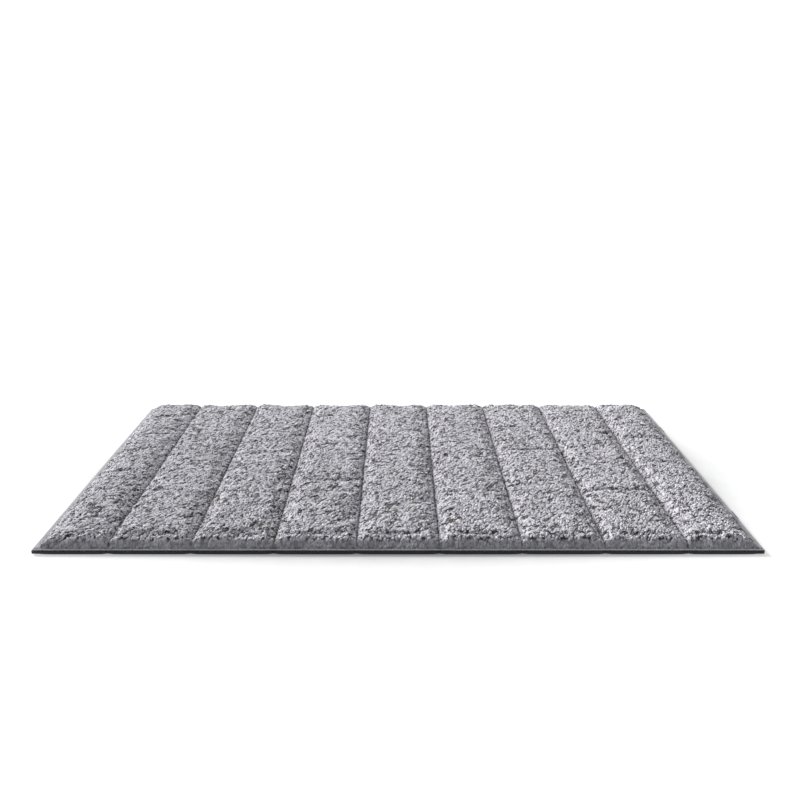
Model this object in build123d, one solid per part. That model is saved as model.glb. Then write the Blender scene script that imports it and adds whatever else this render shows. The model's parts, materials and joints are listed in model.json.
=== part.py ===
from build123d import *
import os

# A padded bath mat: a fleece face and a woven backing, quilted together over wadding into
# nine channels that run from front to back. The seams between the channels are where the
# mat folds, so each channel is one rigid pad and each seam is a hinge.
#
# Frame: origin at the middle of the underside, on the floor. +X along the long side, towards
# the end that has the carry band and the closure tabs; +Y to the back; +Z up. Millimetres.

# Driving dimensions
MAT_LENGTH = 900.0
MAT_WIDTH = 600.0
MAT_HEIGHT = 20.0
CHANNELS = 9
SEAM_PITCH = 102.0
HEM_WIDTH = 7.5

# Heights of the layers at the hem and along the seams
SEAM_Z = 6.0
HEM_TOP = 7.8
HEM_BOTTOM = 4.8

# Shape of a channel
LIP_GAP = 0.9  # from the fold line of a seam to the edge of the fabric on each side
SHOULDER_IN = 9.5
SHOULDER_UP = 8.5
END_CROWN_IN = 30.0
FOOT_IN = 11.0  # from the lip to where the underside meets the floor
FLEECE_THICKNESS = 4.0
BACKING_THICKNESS = 1.0
WADDING_IN = 6.0
SHOULDER_DROP = 0.4  # how far a shoulder or foot shifts for each millimetre a layer is drawn in
LIP_RISE = 0.5  # how far the lip rises for each millimetre the backing is thick

# Threads
QUILTING_THREAD_RADIUS = 0.5
HEM_THREAD_RADIUS = 0.35
TRIM_THREAD_RADIUS = 0.25
HEM_THREAD_IN = 7.0
HEM_THREAD_END = 4.5  # from a seam to the end of the hem's stitches

# Carry band and label, on the underside of channel 8
BAND_CHANNEL = 8
BAND_LENGTH = 160.0
BAND_WIDTH = 38.0
BAND_SEWN_END = 22.0
BAND_UNDER = 2.0
BAND_THICKNESS = 1.4
LABEL_LENGTH = 58.0
LABEL_WIDTH = 38.0
LABEL_UNDER = 0.6
STITCH_MARGIN = 2.5

# Closure tabs at the +X hem, and the loop patches that they close on
TAB_SPACING = 370.0
TAB_WIDTH = 25.0
TAB_LENGTH = 66.0
TAB_THICKNESS = 1.6
TAB_UNDER = 0.2
TAB_FOLD_X = 452.4
TAB_FOLD_CLEAR = 1.0
TAB_ROOM = 0.4  # between a tucked tab and the backing above it
TAB_SEWN_GAP = 0.2  # from the padded part of the end channel to the sewn end of a tab
PATCH_CHANNEL = 4
PATCH_SIZE = (32.0, 28.0)
PATCH_FROM_SEAM = 12.5
PATCH_UNDER = 0.1
PATCH_THICKNESS = 0.9

# Care tag in the back hem of channel 8
TAG_WIDTH = 12.0
TAG_LENGTH = 25.0
TAG_SEWN = 7.0
TAG_THICKNESS = 0.8

POCKET_CLEAR = 1.0
BELOW_FLOOR = -1.0

half_length = MAT_LENGTH / 2
half_width = MAT_WIDTH / 2
seams = [(k - CHANNELS / 2) * SEAM_PITCH for k in range(1, CHANNELS)]
edges = [-half_length] + seams + [half_length]


def box(x_low, x_high, y_low, y_high, z_low, z_high):
    """A rectangular block between two corners."""
    size = (x_high - x_low, y_high - y_low, z_high - z_low)
    middle = ((x_low + x_high) / 2, (y_low + y_high) / 2, (z_low + z_high) / 2)
    return Pos(*middle) * Box(*size)


def face(points):
    """A flat face inside a closed run of straight lines."""
    return make_face(Polyline(*points, close=True).edges())


def along_y(section, reach=half_width):
    """A section drawn in X and Z, carried along Y to both sides."""
    return extrude(Plane.XZ * section, amount=reach, both=True)


def along_x(section):
    """A section drawn in Y and Z, carried along X to both sides."""
    return extrude(Plane.YZ * section, amount=half_length, both=True)


def thread_x(x_low, x_high, y, z, radius):
    """A straight thread along X."""
    return Pos((x_low + x_high) / 2, y, z) * Rot(0, 90, 0) * Cylinder(radius, x_high - x_low)


def thread_y(x, y_low, y_high, z, radius):
    """A straight thread along Y."""
    return Pos(x, (y_low + y_high) / 2, z) * Rot(90, 0, 0) * Cylinder(radius, y_high - y_low)


def lips(channel):
    """Where the padded part of a channel starts and ends along X."""
    low = edges[channel - 1] + (HEM_WIDTH if channel == 1 else LIP_GAP)
    high = edges[channel] - (HEM_WIDTH if channel == CHANNELS else LIP_GAP)
    return low, high


def middle_x(channel):
    """The middle of a channel that has a seam on both sides."""
    return (edges[channel - 1] + edges[channel]) / 2


def fleece_side(low, high, inset, crown):
    """The rounded upper section: up from the lip to the shoulder, then an arc over the crown."""
    rise = SHOULDER_UP - inset * SHOULDER_DROP
    left = (low + inset, SEAM_Z)
    left_shoulder = (low + inset + SHOULDER_IN, SEAM_Z + rise)
    right_shoulder = (high - inset - SHOULDER_IN, SEAM_Z + rise)
    right = (high - inset, SEAM_Z)
    outline = [
        Line(left, left_shoulder),
        ThreePointArc(left_shoulder, ((low + high) / 2, crown), right_shoulder),
        Line(right_shoulder, right),
        Line(right, left),
    ]
    return make_face(outline)


def fleece_end(inset, crown):
    """The upper section from front to back: a shoulder at each end and a level crown."""
    reach = half_width - HEM_WIDTH - inset
    rise = SHOULDER_UP - inset * SHOULDER_DROP
    return face([
        (-reach, SEAM_Z),
        (-reach + SHOULDER_IN, SEAM_Z + rise),
        (-reach + END_CROWN_IN, crown),
        (reach - END_CROWN_IN, crown),
        (reach - SHOULDER_IN, SEAM_Z + rise),
        (reach, SEAM_Z),
    ])


def floor_side(low, high, inset, hem_bottom, floor):
    """The lower section: down from the lips to a flat foot."""
    foot = FOOT_IN + inset * SHOULDER_DROP
    return face([
        (low + inset, SEAM_Z),
        (low + inset, hem_bottom),
        (low + inset + foot, floor),
        (high - inset - foot, floor),
        (high - inset, hem_bottom),
        (high - inset, SEAM_Z),
    ])


def half_pads(channel, inset, top_inset, bottom_inset):
    """The upper and lower halves of a channel's padded shape, drawn in by the given insets."""
    low, high = lips(channel)
    crown = MAT_HEIGHT - top_inset
    hem_bottom = HEM_BOTTOM + bottom_inset * LIP_RISE
    reach = half_width - HEM_WIDTH
    upper = along_y(fleece_side(low, high, inset, crown)) & along_x(fleece_end(inset, crown))
    across = along_y(floor_side(low, high, inset, hem_bottom, bottom_inset))
    lengthwise = along_x(floor_side(-reach, reach, inset, hem_bottom, bottom_inset))
    return upper, across & lengthwise


def hem_layer(channel, z_low, z_high, mitred):
    """One layer of the flat edge that runs round the mat, across the whole of a channel."""
    low = edges[channel - 1] + (0.0 if channel == 1 else LIP_GAP)
    high = edges[channel] - (0.0 if channel == CHANNELS else LIP_GAP)
    slope = (z_high - z_low) * SHOULDER_IN / SHOULDER_UP if mitred else 0.0
    low_slope = 0.0 if channel == 1 else slope
    high_slope = 0.0 if channel == CHANNELS else slope
    return along_y(face([
        (low, z_low),
        (high, z_low),
        (high - high_slope, z_high),
        (low + low_slope, z_high),
    ]))


def tab_sides():
    """The middle of each closure tab along Y, by name."""
    return {"front": -TAB_SPACING / 2, "back": TAB_SPACING / 2}


def pockets(channel):
    """The hollows that the trim presses into the underside, as x, y and height limits."""
    found = []
    if channel == BAND_CHANNEL:
        x = middle_x(channel)
        half = (BAND_WIDTH / 2 + POCKET_CLEAR, BAND_LENGTH / 2 + POCKET_CLEAR)
        depth = BAND_UNDER + BAND_THICKNESS
        found.append((x - half[0], x + half[0], -half[1], half[1], depth))
    if channel == CHANNELS:
        start = TAB_FOLD_X - TAB_FOLD_CLEAR - TAB_LENGTH - POCKET_CLEAR
        depth = TAB_UNDER + TAB_THICKNESS + TAB_ROOM
        for y in tab_sides().values():
            reach = TAB_WIDTH / 2 + POCKET_CLEAR
            found.append((start, half_length, y - reach, y + reach, depth))
    if channel == PATCH_CHANNEL:
        start = edges[channel - 1] + PATCH_FROM_SEAM
        for y in tab_sides().values():
            reach = PATCH_SIZE[1] / 2
            found.append((
                start, start + PATCH_SIZE[0], y - reach, y + reach, PATCH_UNDER + PATCH_THICKNESS,
            ))
    return found


def channel_nodes(channel):
    """The fleece, wadding, backing and hem stitches of one channel."""
    upper, lower = half_pads(channel, 0.0, 0.0, 0.0)
    inner_upper, inner_lower = half_pads(
        channel, WADDING_IN, FLEECE_THICKNESS, BACKING_THICKNESS
    )
    wadding = inner_upper + inner_lower
    backing = lower + hem_layer(channel, HEM_BOTTOM, SEAM_Z, mitred=False)
    for x_low, x_high, y_low, y_high, depth in pockets(channel):
        wall = BACKING_THICKNESS
        wadding -= box(
            x_low - wall, x_high + wall, y_low - wall, y_high + wall, BELOW_FLOOR, depth + wall
        )
        backing -= box(x_low, x_high, y_low, y_high, BELOW_FLOOR, depth)
    fleece = upper + hem_layer(channel, SEAM_Z, HEM_TOP, mitred=True)
    return {
        f"fleece_{channel}": fleece - wadding,
        f"wadding_{channel}": wadding,
        f"backing_{channel}": backing - wadding,
        f"hem_stitching_{channel}": hem_stitching(channel),
    }


def hem_stitching(channel):
    """The lines of thread that close the hem of one channel."""
    z = HEM_TOP + HEM_THREAD_RADIUS
    low = edges[channel - 1] + (HEM_THREAD_IN if channel == 1 else HEM_THREAD_END)
    high = edges[channel] - (HEM_THREAD_IN if channel == CHANNELS else HEM_THREAD_END)
    y = half_width - HEM_THREAD_IN
    rows = [thread_x(low, high, side * y, z, HEM_THREAD_RADIUS) for side in (-1, 1)]
    corner = y - 2 * HEM_THREAD_RADIUS
    if channel == 1:
        rows.append(thread_y(low, -corner, corner, z, HEM_THREAD_RADIUS))
    if channel == CHANNELS:
        rows.append(thread_y(high, -corner, corner, z, HEM_THREAD_RADIUS))
    return Compound(children=rows)


def quilting_nodes():
    """One line of quilting thread along each fold line."""
    reach = half_width - HEM_WIDTH
    return {
        f"quilting_thread_{k}": thread_y(x, -reach, reach, SEAM_Z, QUILTING_THREAD_RADIUS)
        for k, x in enumerate(seams, 1)
    }


def band_nodes():
    """The carry band, the leather label on it, and the threads that hold both."""
    x = middle_x(BAND_CHANNEL)
    half_band = BAND_WIDTH / 2
    band = box(
        x - half_band, x + half_band, -BAND_LENGTH / 2, BAND_LENGTH / 2,
        BAND_UNDER, BAND_UNDER + BAND_THICKNESS,
    )
    label = box(
        x - LABEL_WIDTH / 2, x + LABEL_WIDTH / 2, -LABEL_LENGTH / 2, LABEL_LENGTH / 2,
        LABEL_UNDER, BAND_UNDER,
    )
    across = half_band - STITCH_MARGIN
    band_z = BAND_UNDER - TRIM_THREAD_RADIUS
    rows = []
    for side in (-1, 1):
        for y in (BAND_LENGTH / 2 - STITCH_MARGIN, BAND_LENGTH / 2 - BAND_SEWN_END):
            rows.append(thread_x(x - across, x + across, side * y, band_z, TRIM_THREAD_RADIUS))
    label_z = LABEL_UNDER - TRIM_THREAD_RADIUS
    label_across = LABEL_WIDTH / 2 - STITCH_MARGIN
    label_along = LABEL_LENGTH / 2 - STITCH_MARGIN
    short = label_along - 2 * TRIM_THREAD_RADIUS
    border = []
    for side in (-1, 1):
        border.append(thread_x(
            x - label_across, x + label_across, side * label_along, label_z, TRIM_THREAD_RADIUS,
        ))
        border.append(thread_y(
            x + side * label_across, -short, short, label_z, TRIM_THREAD_RADIUS,
        ))
    return {
        "carry_band": band,
        "carry_band_stitching": Compound(children=rows),
        "leather_label": label,
        "label_stitching": Compound(children=border),
    }


def closure_nodes():
    """The closure tabs, tucked under the hem, their sewn ends, and the loop patches."""
    found = {}
    patch_x = edges[PATCH_CHANNEL - 1] + PATCH_FROM_SEAM
    sewn_low = half_length - HEM_WIDTH + TAB_SEWN_GAP
    for name, y in tab_sides().items():
        y_low, y_high = y - TAB_WIDTH / 2, y + TAB_WIDTH / 2
        fold = TAB_FOLD_X - TAB_FOLD_CLEAR
        found[f"closure_tab_{name}"] = box(
            fold - TAB_LENGTH, fold, y_low, y_high, TAB_UNDER, TAB_UNDER + TAB_THICKNESS,
        )
        found[f"closure_tab_{name}_sewn_end"] = box(
            sewn_low, half_length - TAB_FOLD_CLEAR, y_low, y_high,
            HEM_BOTTOM - TAB_THICKNESS, HEM_BOTTOM,
        )
        found[f"loop_patch_{name}"] = box(
            patch_x, patch_x + PATCH_SIZE[0], y - PATCH_SIZE[1] / 2, y + PATCH_SIZE[1] / 2,
            PATCH_UNDER, PATCH_UNDER + PATCH_THICKNESS,
        )
    return found


def tag_nodes():
    """The care tag, held under the back hem and standing out past it."""
    x = middle_x(BAND_CHANNEL)
    start = half_width - TAG_SEWN
    return {
        "care_tag": box(
            x - TAG_WIDTH / 2, x + TAG_WIDTH / 2, start, start + TAG_LENGTH,
            HEM_BOTTOM - TAG_THICKNESS, HEM_BOTTOM,
        )
    }


nodes = {}
for number in range(1, CHANNELS + 1):
    nodes.update(channel_nodes(number))
nodes.update(quilting_nodes())
nodes.update(band_nodes())
nodes.update(closure_nodes())
nodes.update(tag_nodes())

os.makedirs("parts", exist_ok=True)
for name, shape in nodes.items():
    export_step(shape, f"parts/{name}.step")
    print(name, len(shape.solids()), "solid(s),", round(shape.volume / 1000, 2), "cm3")
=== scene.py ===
# %% [markdown]
# # A quilted bath mat
# The real mat is two cloths, a looped fleece face and a woven backing, stitched together along
# eight lines with soft wadding between them, so that it puffs up into nine channels. Each channel
# is a pad of its own and moves with its own body, and the mat folds at the seams between them.
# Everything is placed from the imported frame, so this first step loads it.

# %% Load the frame
import json
import math

import bpy
import numpy as np
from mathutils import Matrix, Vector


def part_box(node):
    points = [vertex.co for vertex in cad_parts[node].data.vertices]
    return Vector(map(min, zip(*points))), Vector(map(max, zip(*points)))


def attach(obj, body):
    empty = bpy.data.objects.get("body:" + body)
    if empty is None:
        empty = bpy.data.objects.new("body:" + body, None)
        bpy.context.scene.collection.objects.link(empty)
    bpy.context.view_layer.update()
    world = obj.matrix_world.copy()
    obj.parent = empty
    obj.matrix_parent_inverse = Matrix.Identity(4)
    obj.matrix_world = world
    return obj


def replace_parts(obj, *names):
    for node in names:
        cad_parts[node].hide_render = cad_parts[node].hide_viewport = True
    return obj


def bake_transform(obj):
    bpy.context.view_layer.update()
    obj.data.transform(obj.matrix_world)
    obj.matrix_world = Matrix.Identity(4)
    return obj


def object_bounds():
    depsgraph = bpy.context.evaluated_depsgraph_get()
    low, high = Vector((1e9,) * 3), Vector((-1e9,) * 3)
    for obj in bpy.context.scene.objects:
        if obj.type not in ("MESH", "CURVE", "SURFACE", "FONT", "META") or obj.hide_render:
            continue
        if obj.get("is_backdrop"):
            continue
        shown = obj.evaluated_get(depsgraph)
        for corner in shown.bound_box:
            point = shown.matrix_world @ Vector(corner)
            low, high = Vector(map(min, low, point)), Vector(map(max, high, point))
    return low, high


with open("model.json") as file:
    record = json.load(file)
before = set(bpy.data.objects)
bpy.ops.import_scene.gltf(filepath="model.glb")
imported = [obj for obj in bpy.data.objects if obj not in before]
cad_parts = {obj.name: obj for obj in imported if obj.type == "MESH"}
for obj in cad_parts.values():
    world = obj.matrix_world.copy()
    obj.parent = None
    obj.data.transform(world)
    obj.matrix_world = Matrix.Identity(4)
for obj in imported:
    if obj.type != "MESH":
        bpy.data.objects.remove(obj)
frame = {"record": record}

CAD_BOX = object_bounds()
MM = 0.001
CHANNELS = 9

# %% [markdown]
# ## The measures that every piece shares
# The seams are the hinges of the frame, so their places, their height and how far each one folds
# are read from the joints. The edges of the mat come from the boxes of the backing.

# %% Seams, edges and folds
folds = {j["name"]: j for j in frame["record"]["behaviour"]["joints"]}
seam_x = [folds[f"seam_{k}_fold"]["pos_m"][0] for k in range(1, CHANNELS)]
seam_z = folds["seam_1_fold"]["pos_m"][2]
half_fold = [math.radians(max(folds[f"seam_{k}_fold"]["range_deg"])) / 2 for k in range(1, CHANNELS)]
half_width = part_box("backing_5")[1][1]
mat_start, mat_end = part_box("backing_1")[0][0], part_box(f"backing_{CHANNELS}")[1][0]
crown_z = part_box("fleece_5")[1][2]
hem_low_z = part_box("care_tag")[1][2]
edges = [mat_start] + seam_x + [mat_end]
HEM = 7.5 * MM  # the flat edge that runs round the mat
HEM_STITCH_IN, END_STITCH_IN = 7.0 * MM, 4.4 * MM  # how far in it is sewn at the sides and at the ends
print("seams", [round(x, 4) for x in seam_x], "width", round(2 * half_width, 3), "crown", round(crown_z, 4))


# %% [markdown]
# ## From arrays to meshes
# A grid of points, one for each pair of its two parameters, is the start of every cloth here. A
# cloth has two sides, so a solid one is two grids, joined round their border. Numpy makes all the
# corners of all the faces at once.

# %% Grids and meshes
def grid_faces(rows, columns, first=0, flip=False):
    """Squares between neighbouring points of a grid: corners (r, c), (r, c+1), (r+1, c+1), (r+1, c)."""
    index = first + np.arange(rows * columns).reshape(rows, columns)
    quads = np.stack([index[:-1, :-1], index[:-1, 1:], index[1:, 1:], index[1:, :-1]], axis=-1)
    quads = quads.reshape(-1, 4)
    return quads[:, ::-1] if flip else quads


def put_in_scene(name, data):
    """A new object of a mesh, a light or a camera."""
    made = bpy.data.objects.new(name, data)
    bpy.context.scene.collection.objects.link(made)
    return made


def new_piece(name, points, faces, body, finish, slot):
    """A smooth mesh object with these points and faces, which rides on a body and wears a finish."""
    mesh = bpy.data.meshes.new(name)
    mesh.from_pydata(points.reshape(-1, 3).tolist(), [], faces)
    mesh.validate()
    mesh.polygons.foreach_set("use_smooth", np.full(len(mesh.polygons), True))
    mesh.materials.append(finish)
    piece = put_in_scene(name, mesh)
    if body:
        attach(piece, body)
    return piece


def border_walls(rows, columns, under_columns, step, first):
    """Faces that close the edge between an upper grid and an under grid with fewer columns."""
    top = np.arange(rows * columns).reshape(rows, columns)
    low = first + np.arange(rows * under_columns).reshape(rows, under_columns)
    left = np.stack([top[1:, 0], low[1:, 0], low[:-1, 0], top[:-1, 0]], axis=-1)
    right = np.stack([top[:-1, -1], low[:-1, -1], low[1:, -1], top[1:, -1]], axis=-1)
    walls = left.tolist() + right.tolist()
    for cell in range(under_columns - 1):
        reach = slice(cell * step, min((cell + 1) * step, columns - 1) + 1)
        walls.append([low[0, cell], low[0, cell + 1], *top[0, reach][::-1]])
        walls.append([low[-1, cell + 1], low[-1, cell], *top[-1, reach]])
    return walls


def shell(top, under, step=1):
    """Points and faces of a closed shell between two grids, one with every step-th column only."""
    rows, columns = top.shape[:2]
    faces = grid_faces(rows, columns).tolist()
    faces += grid_faces(rows, under.shape[1], rows * columns, flip=True).tolist()
    faces += border_walls(rows, columns, under.shape[1], step, rows * columns)
    return np.concatenate([top.reshape(-1, 3), under.reshape(-1, 3)]), faces


def joined(parts):
    """Several meshes as one: all their points, and their faces with the corners numbered on."""
    points, faces, first = [], [], 0
    for part_points, part_faces in parts:
        points.append(part_points)
        faces += [[corner + first for corner in face] for face in part_faces]
        first += len(part_points)
    return np.concatenate(points), faces


def closed_cloth(name, top, under, body, finish, slot, step=1, face_down=False):
    """A solid piece between two grids of points, the second with every step-th column of the first.

    The first grid is the upper one, or the lower one of a piece that faces down."""
    points, faces = shell(top, under, step)
    if face_down:
        faces = [face[::-1] for face in faces]
    return new_piece(name, points, faces, body, finish, slot)


def mark_points(piece, marks):
    """Stores numbers for the points of a piece by name, padded with zeros, for its finish to read."""
    for name, values in marks.items():
        stored = np.zeros(len(piece.data.vertices), np.float32)
        stored[: values.size] = values.ravel()
        piece.data.attributes.new(name, "FLOAT", "POINT").data.foreach_set("value", stored)


# %% [markdown]
# ## Irregularity
# Nothing in a cloth repeats exactly. Two kinds of noise do all the work: a soft one for slow
# unevenness, and one of cells for the curls of the fleece. Both look up fixed tables of random
# numbers, so every run gives the same mat.

# %% Noise on a grid
SOFT_TABLE, CURL_TABLE = (97, 89), (83, 79)  # lattice squares before a table repeats
LATTICE_SHIFT = 500.0  # keeps the lattice numbers above zero all over the mat


def soft_noise(x, y, size, seed):
    """Smooth noise from -1 to 1: random values on a square lattice, blended by 3t^2 - 2t^3."""
    wide, long = SOFT_TABLE
    table = np.random.default_rng(seed).random(SOFT_TABLE) * 2 - 1
    p, q = x / size + LATTICE_SHIFT, y / size + LATTICE_SHIFT
    i, j = np.floor(p).astype(int), np.floor(q).astype(int)
    s, t = p - i, q - j
    s, t = s * s * (3 - 2 * s), t * t * (3 - 2 * t)
    i, j, i_next, j_next = i % wide, j % long, (i + 1) % wide, (j + 1) % long
    low = table[i, j] * (1 - s) + table[i_next, j] * s
    high = table[i, j_next] * (1 - s) + table[i_next, j_next] * s
    return low * (1 - t) + high * t


def curl_cells(x, y, size, seed, angle=0.0, stretch=1.0):
    """Distance to the nearest and second nearest of scattered centres, in sizes, and its number.

    There is one centre in each square of a lattice, moved at random inside its square, and each
    has a random number from 0 to 1. The lattice is turned by angle, and its squares are stretch
    times as long as they are wide."""
    wide, long = CURL_TABLE
    table = np.random.default_rng(seed).random((wide, long, 3))
    table[..., :2] = table[..., :2] * 0.86 + 0.07
    turned = x * math.cos(angle) + y * math.sin(angle), y * math.cos(angle) - x * math.sin(angle)
    p = turned[0] / (size * math.sqrt(stretch)) + LATTICE_SHIFT
    q = turned[1] / (size / math.sqrt(stretch)) + LATTICE_SHIFT
    i, j = np.floor(p).astype(int), np.floor(q).astype(int)
    nearest, second, number = np.full(p.shape, 9.0), np.full(p.shape, 9.0), np.zeros(p.shape)
    for di in (-1, 0, 1):
        for dj in (-1, 0, 1):
            centre = table[(i + di) % wide, (j + dj) % long]
            away = np.hypot(i + di + centre[..., 0] - p, j + dj + centre[..., 1] - q)
            number = np.where(away < nearest, centre[..., 2], number)
            second = np.minimum(second, np.maximum(nearest, away))
            nearest = np.minimum(nearest, away)
    return nearest, second, number


def eased(x, low, high):
    """0 below low, 1 above high, and 3t^2 - 2t^3 between."""
    t = np.clip((x - low) / (high - low), 0, 1)
    return t * t * (3 - 2 * t)


def soft_least(a, b, blend):
    """The smaller of two heights, rounded off where they are within blend of each other."""
    near = np.clip(0.5 + 0.5 * (b - a) / blend, 0, 1)
    return b * (1 - near) + a * near - blend * near * (1 - near)


# %% [markdown]
# ## The shape of a channel
# The base cloth of a channel goes down to its seams, but the pile is several millimetres deep, so
# over a seam the pile of both sides meets and leaves only a soft valley. The look of the mat is
# that closed surface. What a channel can carry by itself is less: its own slope has to keep inside
# half of the seam's fold, so that two channels close like the covers of a book. The pile between
# the two slopes is a strip of its own, made later.
# On the hem side there is first a flat edge with a groove where it is sewn, and then the cut edge
# of the pile makes a small step. The two ends are blunter: there the fleece goes down in a tall
# round front.

# %% Heights above the seam
RISE = crown_z - seam_z - 0.5 * MM
FLEECE_LIFT = 0.12 * MM
VALLEY = 1.0 * MM
HEM_LIP, LIP_OVERHANG = 0.75 * MM, 0.7 * MM
PILE_OVER_SEAM = 4.6 * MM
SEAM_SOFTNESS = 6.0 * MM
LATE_RISE = 0.5 * MM
HEM_SIDE = {"sewn": HEM_STITCH_IN, "slope": 1.8, "shoulder": 3.4 * MM, "power": 2.4, "blend": 1.6 * MM}
BLUNT_END = {"sewn": END_STITCH_IN, "slope": 1.2, "shoulder": 10.2 * MM, "power": 2.2, "blend": 5.0 * MM}


def over_seam(away, reach):
    """Height of the closed pile at a distance from a seam: f + g(1 - exp(-(away / s)^0.8)) + a crown."""
    t = np.clip(away / reach, 0, 1)
    quick = 1 - np.exp(-((np.maximum(away, 0) / SEAM_SOFTNESS) ** 0.8))
    return PILE_OVER_SEAM + (RISE - PILE_OVER_SEAM - LATE_RISE) * quick + LATE_RISE * (2 * t - t * t)


def over_fold(away, lean):
    """Height of a channel's own slope: it eases out of the stitches and then follows its lean."""
    return (away - VALLEY * (1 - np.exp(-away / VALLEY))) / math.tan(lean)


def over_hem(away, reach, side):
    """Height of the fleece at a distance from the hem: a flat lip, a sewn groove, then the pad.

    The pad is the lesser of a slope and a crown, shoulder + (rise - shoulder)(1 - (1 - t)^power)."""
    lip = HEM_LIP * eased(away, -0.9 * MM, 2.2 * MM)
    inside = away - side["sewn"]
    groove = 0.7 * MM * np.exp(-((inside / (0.8 * MM)) ** 2))
    t = np.clip(inside / reach, 0, 1)
    crown = side["shoulder"] + (RISE - side["shoulder"]) * (1 - (1 - t) ** side["power"])
    rise = soft_least(side["slope"] * inside, crown, side["blend"])
    return lip - groove + np.maximum(rise - lip, 0)


def channel_edges(channel):
    """For each side of a channel, its place along X and the lean of its slope, or None at a hem."""
    sides = []
    for side in (channel - 1, channel):
        seam = side if 1 <= side <= CHANNELS - 1 else None
        sides.append((edges[side], None if seam is None else half_fold[seam - 1] + math.radians(1)))
    return sides


def closed_height(channel, x, y):
    """Height of the smooth closed pile over the fold line, from the rounded least of its four edges."""
    (low, low_lean), (high, high_lean) = channel_edges(channel)
    reach = (high - low) / 2
    height = np.full_like(x, RISE)
    for away, lean in ((x - low, low_lean), (high - x, high_lean)):
        side = over_hem(away, reach, HEM_SIDE) if lean is None else over_seam(away, reach)
        height = soft_least(height, side, 0.8 * MM)
    ends = over_hem(half_width - np.abs(y), 60 * MM, BLUNT_END)
    height = soft_least(height, ends, 1.2 * MM * eased(ends, 1 * MM, 4 * MM) + 1e-6)
    uneven = 0.5 * MM * soft_noise(x, y, 45 * MM, 11) + 0.35 * MM * soft_noise(x, y, 19 * MM, 12)
    return np.maximum(height + uneven * eased(height, 2.5 * MM, 8 * MM), 0)


def fleece_height(channel, x, y):
    """Height of a channel's own fleece: the closed pile, cut back to the slopes of its folds."""
    height = closed_height(channel, x, y)
    for edge, lean in channel_edges(channel):
        if lean is not None:
            height = soft_least(height, over_fold(np.abs(x - edge), lean), 0.6 * MM)
    return np.maximum(height, 0)


FOOT_IN = 18 * MM
BELLY_IN = 2.4 * MM
PINCH = 0.3  # how far a seam lifts the backing at the two ends, as a share of its lift elsewhere


def floor_rise(away, top, reach):
    """Height of the backing at a distance from an edge: it leaves the floor in a steepening curve."""
    return top * np.clip(1 - away / reach, 0, 1) ** 2.2


def belly(away):
    """Height of the backing near an end: a round belly, a quarter of an ellipse, up to the hem."""
    t = np.clip(1 - away / BELLY_IN, 0, 1)
    return hem_low_z * (1 - np.sqrt(1 - t * t))


def backing_height(channel, x, y):
    """Height of the backing over the floor: flat where it rests, and curling up to every edge."""
    (low, low_lean), (high, high_lean) = channel_edges(channel)
    height = np.zeros_like(x)
    for away, lean in ((x - low, low_lean), (high - x, high_lean)):
        if lean is None:
            side = np.where(away < HEM, hem_low_z, floor_rise(away - HEM, hem_low_z, FOOT_IN))
        else:
            side = floor_rise(away, seam_z, FOOT_IN)
        height = np.maximum(height, side)
    away = half_width - np.abs(y)
    pinch = PINCH + (1 - PINCH) * eased(away, 3 * MM, 14 * MM)
    return np.maximum(height * pinch, belly(away))


def rows_between_ends(step, end_rows=(0,)):
    """Places along Y from front to back: given distances in from both ends, and even steps between."""
    ends = half_width - np.array(end_rows)
    rows = int(round(2 * ends[-1] / step)) + 1
    return np.concatenate([-ends[:-1], np.linspace(-ends[-1], ends[-1], rows), ends[-2::-1]])


def channel_grid(channel, step_x, step_y, inset=0.15 * MM, end_rows=(0,)):
    """Points spread over a channel seen from above: rows run along X, from the front to the back."""
    low = edges[channel - 1] + (0 if channel == 1 else inset)
    high = edges[channel] - (0 if channel == CHANNELS else inset)
    columns = int(round((high - low) / step_x)) + 1
    return np.meshgrid(np.linspace(low, high, columns), rows_between_ends(step_y, end_rows))


def surface_normals(points):
    """The outward direction at each point of a grid: the cross product of its two runs."""
    along_x = np.gradient(points, axis=1)
    along_y = np.gradient(points, axis=0)
    normal = np.cross(along_x, along_y)
    return normal / np.maximum(np.linalg.norm(normal, axis=-1, keepdims=True), 1e-12)


# %% [markdown]
# ## Letting the pads swell
# Wadding pushes a stitched cloth out where it can give, and the stitches hold it back, which puts
# soft puckers beside every seam. That is hard to draw and easy to simulate: a coarse closed pad of
# each channel is held along its edges, a little cloth is added, and air pressure inside swells it.
# Only the movement is kept, limited to a few millimetres, and it is added to the fine cloth later.

# %% Cloth simulation of all nine channels at once
COARSE_X, COARSE_Y = 6 * MM, 6 * MM
MOST_SWELL = 1.6 * MM
SWELL_FRAMES = 20
SHARE_BEFORE = 0.88  # height of the pad before it swells, as a share of the finished one
LEAST_PAD = 0.8 * MM


def coarse_pad(channel):
    """The upper and under grids of a channel's pad, coarse enough to simulate."""
    x, y = channel_grid(channel, COARSE_X, COARSE_Y)
    lower = backing_height(channel, x, y)
    top = seam_z + SHARE_BEFORE * fleece_height(channel, x, y) + 0.4 * MM
    return np.stack([x, y, top], axis=-1), np.stack([x, y, np.minimum(lower, top - LEAST_PAD)], axis=-1)


def held_points(top):
    """1 where stitches hold the pad: the border of the grid and the flat hem."""
    held = np.zeros(top.shape[:2])
    held[[0, -1], :] = 1
    held[:, [0, -1]] = 1
    x, y = top[..., 0], top[..., 1]
    away = np.minimum(half_width - np.abs(y), np.minimum(x - mat_start, mat_end - x))
    held[away < HEM + 0.5 * MM] = 1
    return held


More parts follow.
